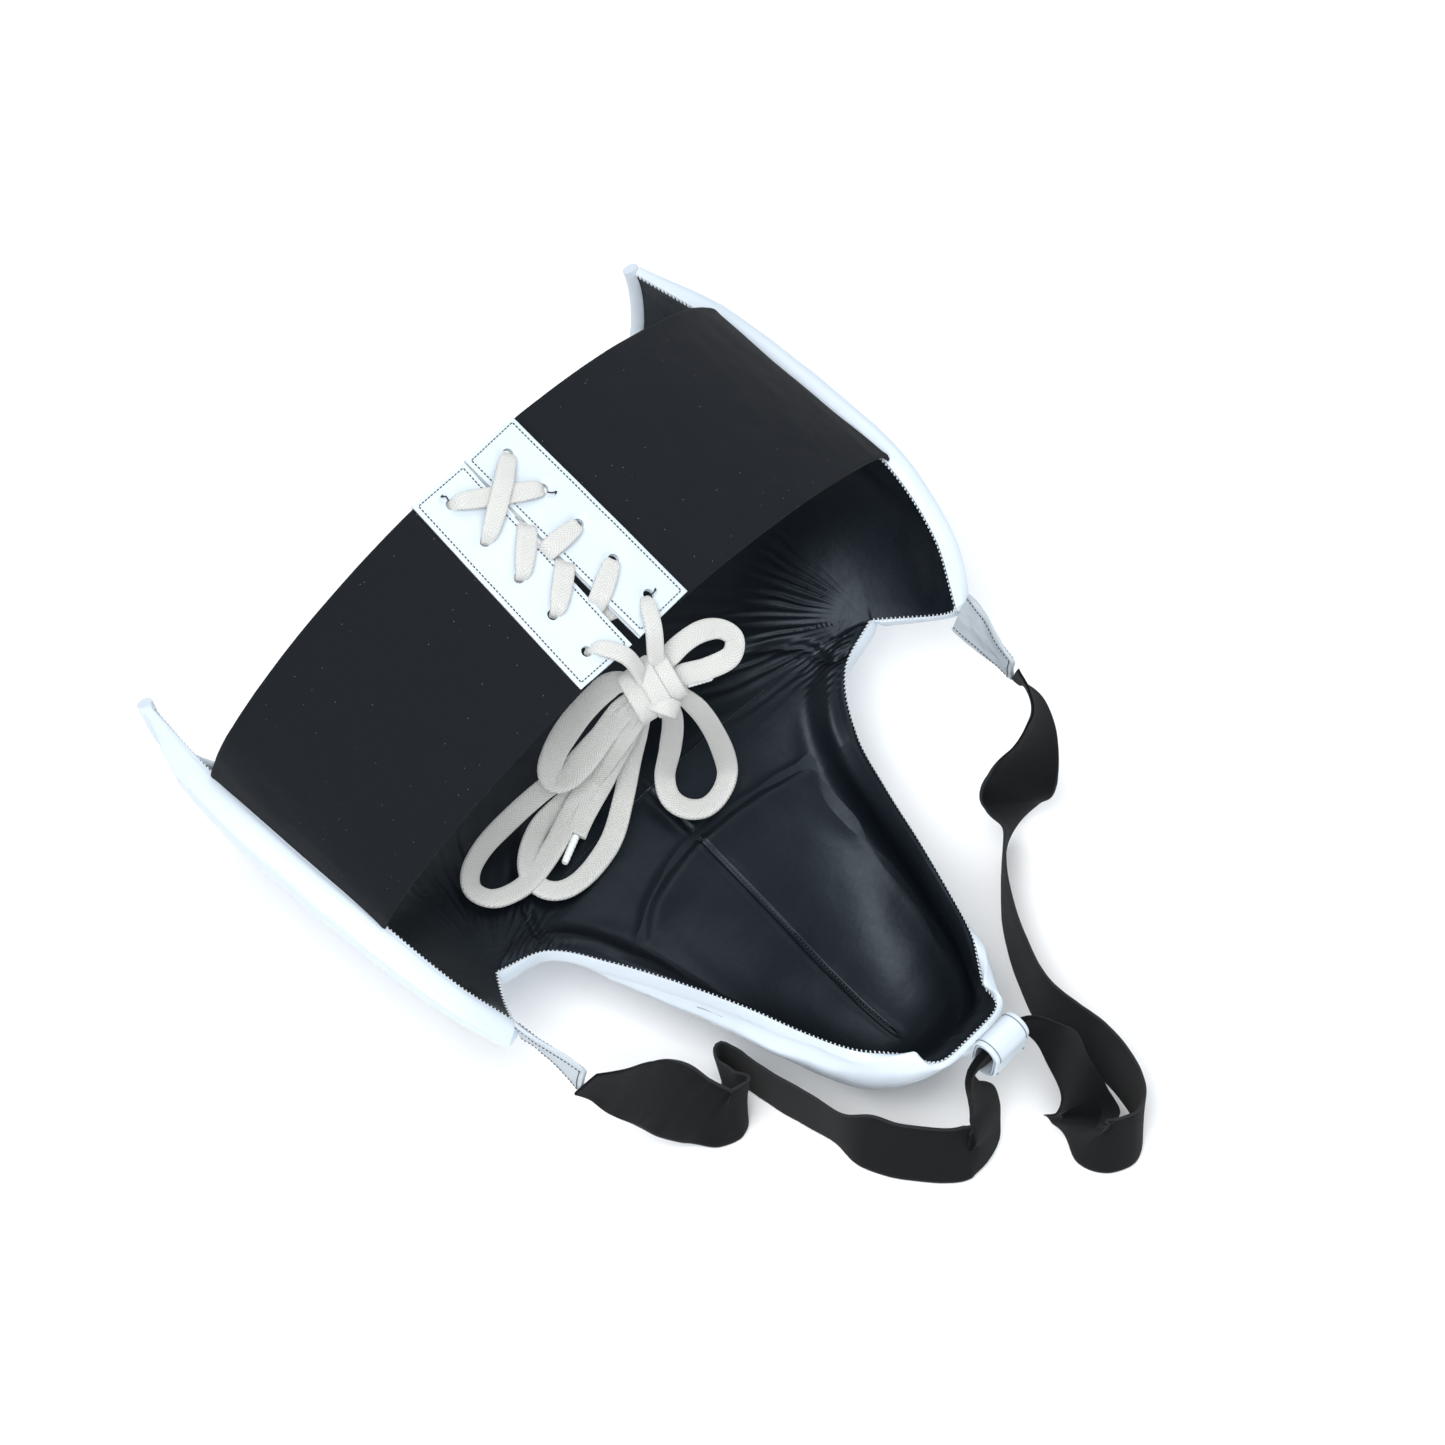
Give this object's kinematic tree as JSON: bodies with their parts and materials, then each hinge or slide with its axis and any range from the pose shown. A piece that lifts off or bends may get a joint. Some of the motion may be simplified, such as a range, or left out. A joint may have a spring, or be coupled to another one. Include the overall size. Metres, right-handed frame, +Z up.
{
  "type": "groin protector",
  "caption": "White leather boxing groin protector with dark padded lining, wide elastic laced back belt and leg strap",
  "frame": {"origin": "on the surface, under the flat spot on which the bottom of the cup rests, in the middle between left and right", "axes": "+Z up from the surface, +Y towards the waist hem, -Y towards the crotch tip, +X to one side (the side seen on the right from behind the belt)"},
  "size_m": [0.418, 0.5195, 0.2284],
  "materials": {
    "white_leather": "smooth coated leather",
    "panel_leather": "smooth coated leather",
    "dark_lining": "glossy smooth leather",
    "foam": "soft padding",
    "cup_shell": "moulded shell",
    "belt_elastic": "woven elastic",
    "strap_elastic": "woven elastic",
    "grey_leather": "smooth leather",
    "aglet_plastic": "clear white sleeve",
    "cotton_lace": "braided cotton"
  },
  "bodies": {
    "guard": {"waist_cover": "white_leather", "waist_lining": "dark_lining", "abdominal_pad": "foam", "left_wing_pad": "foam", "right_wing_pad": "foam", "top_hem": "white_leather", "cup_cover": "white_leather", "left_cup_lining": "dark_lining", "right_cup_lining": "dark_lining", "cup_foam": "foam", "hard_cup": "cup_shell", "left_rim_roll": "foam", "right_rim_roll": "foam", "left_elastic": "belt_elastic", "right_elastic": "belt_elastic", "left_lacing_panel": "panel_leather", "right_lacing_panel": "panel_leather", "left_panel_backing": "panel_leather", "right_panel_backing": "panel_leather", "lace": "cotton_lace", "bow_knot": "cotton_lace", "bow_loop_long": "cotton_lace", "bow_loop_short": "cotton_lace", "bow_ear_left": "cotton_lace", "bow_ear_right": "cotton_lace", "bow_loop_right": "cotton_lace", "lace_end_left": "cotton_lace", "lace_end_right": "cotton_lace", "aglet_left": "aglet_plastic", "aglet_right": "aglet_plastic", "leg_strap": "strap_elastic"},
    "left_tab": {"left_tab": "white_leather"},
    "right_tab": {"right_tab": "white_leather"},
    "keeper": {"keeper_outer": "white_leather", "keeper_inner": "grey_leather"}
  },
  "joints": [
    {"name": "left_tab_flex", "type": "hinge", "parent": "guard", "child": "left_tab", "pos_m": [-0.175, 0.1025, 0.105], "axis": [-0.3489, 0, 0.9371], "range_deg": [-18, 18], "stiffness_Nm_per_rad": 0.03},
    {"name": "right_tab_flex", "type": "hinge", "parent": "guard", "child": "right_tab", "pos_m": [0.175, 0.1025, 0.105], "axis": [0.3489, 0, 0.9371], "range_deg": [-18, 18], "stiffness_Nm_per_rad": 0.03},
    {"name": "keeper_flex", "type": "hinge", "parent": "guard", "child": "keeper", "pos_m": [0, -0.07, 0.08], "axis": [1, 0, 0], "range_deg": [-6, 6], "stiffness_Nm_per_rad": 0.05}
  ]
}
